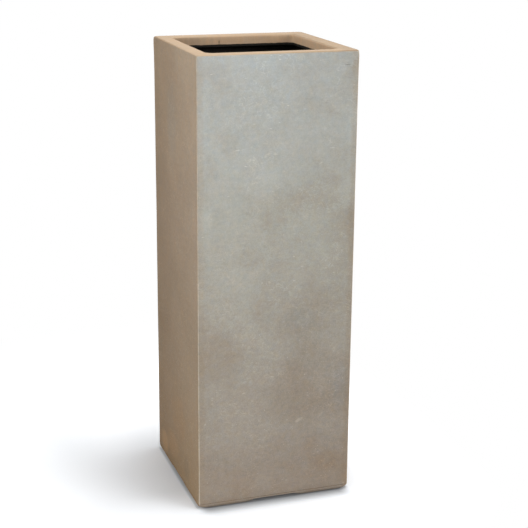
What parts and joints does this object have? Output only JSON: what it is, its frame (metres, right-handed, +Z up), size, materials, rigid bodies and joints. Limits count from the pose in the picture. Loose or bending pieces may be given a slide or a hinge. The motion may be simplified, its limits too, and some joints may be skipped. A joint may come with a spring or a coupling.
{
  "type": "tall square planter",
  "caption": "Tall square planter with a flat rim and an inner return, rounded foot with corner feet, a lift-out planting shelf on corner cleats and a drain plug.",
  "frame": {"origin": "centre of the footprint, on the ground", "axes": "+Z up; -Y is the front; +X is to the right when the front is looked at"},
  "size_m": [0.35, 0.35, 0.99],
  "materials": {
    "stone_coat": "fibreglass with a mottled stone-coloured coat, grey to taupe, with fine pits",
    "black_laminate": "bare fibreglass brushed with black resin, slightly fibrous",
    "shelf_laminate": "dark grey moulded fibreglass, matt",
    "black_rubber": "moulded black rubber, dull"
  },
  "bodies": {
    "planter": {"planter_shell": "stone_coat", "base_pan": "stone_coat", "shelf_cleat_back_right": "black_laminate", "shelf_cleat_back_left": "black_laminate", "shelf_cleat_front_left": "black_laminate", "shelf_cleat_front_right": "black_laminate"},
    "shelf": {"planting_shelf": "shelf_laminate"},
    "plug": {"drain_plug": "black_rubber"}
  },
  "joints": [
    {"name": "shelf_lift", "type": "slide", "parent": "planter", "child": "shelf", "axis": [0, 0, 1], "range_m": [0, 0.4]},
    {"name": "plug_pull", "type": "slide", "parent": "planter", "child": "plug", "axis": [0, 0, 1], "range_m": [0, 0.06]}
  ]
}
